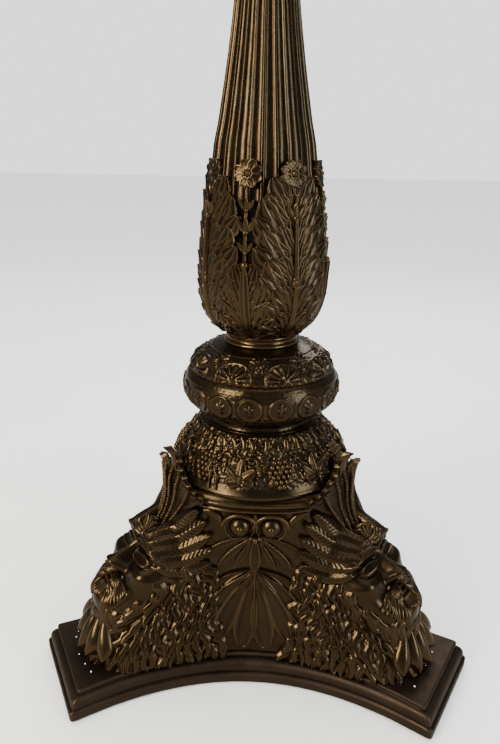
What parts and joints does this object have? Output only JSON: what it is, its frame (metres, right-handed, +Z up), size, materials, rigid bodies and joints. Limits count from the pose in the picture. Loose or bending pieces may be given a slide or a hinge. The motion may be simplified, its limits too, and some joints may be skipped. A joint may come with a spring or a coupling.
{
  "type": "torchiere floor lamp",
  "caption": "Cast bronze torchiere: three-cornered plinth, bearded masks, vine drum, knop, fluted baluster stem and an upward opal glass bowl with a turn switch.",
  "frame": {"origin": "the column's axis at the floor, under the plinth", "axes": "+Z up along the column, +Y towards the corner of the plinth that is away from the front, +X to the right seen from the front"},
  "size_m": [0.555, 0.4806, 1.714],
  "materials": {
    "bronze": "satin, dark brown patina with rubbed golden edges",
    "plinth_bronze": "matt, dark brown patina",
    "steel": "plain",
    "brass": "satin",
    "felt": "matt",
    "opal_glass": "gloss, milky",
    "porcelain": "gloss",
    "rubber": "matt"
  },
  "bodies": {
    "base": {"felt_board": "felt", "plinth": "plinth_bronze", "tripod_body": "bronze", "mask_1": "bronze", "mask_2": "bronze", "mask_3": "bronze", "shell_crest_1": "bronze", "shell_crest_2": "bronze", "shell_crest_3": "bronze", "palmette_1": "bronze", "palmette_2": "bronze", "palmette_3": "bronze", "scroll_pair_1": "bronze", "scroll_pair_2": "bronze", "scroll_pair_3": "bronze", "body_ring": "bronze", "vine_drum": "bronze", "knop_lower": "bronze", "knop_upper": "bronze", "collar": "bronze", "fluted_stem": "bronze", "stem_ring": "bronze", "upper_knop": "bronze", "upper_shaft": "bronze", "shaft_ring": "bronze", "capital": "bronze", "gallery": "bronze", "opal_bowl": "opal_glass", "lock_nut": "brass", "holder_cup": "brass", "lamp_holder": "porcelain", "switch_body": "porcelain", "inner_flex": "rubber", "flex_inlet_bush": "rubber", "tie_tube": "steel", "base_washer": "steel", "base_nut": "steel", "body_bolt_1": "steel", "body_bolt_2": "steel", "body_bolt_3": "steel"},
    "bulb": {"bulb": "opal_glass", "bulb_cap": "brass"},
    "switch": {"switch_spindle": "brass", "switch_key": "rubber"}
  },
  "joints": [
    {"name": "switch_turn", "type": "hinge", "parent": "base", "child": "switch", "pos_m": [0.0265, 0, 1.5373], "axis": [1, 0, 0], "continuous": true},
    {"name": "bulb_draw", "type": "slide", "parent": "base", "child": "bulb", "axis": [0, 0, 1], "range_m": [0, 0.027]}
  ]
}
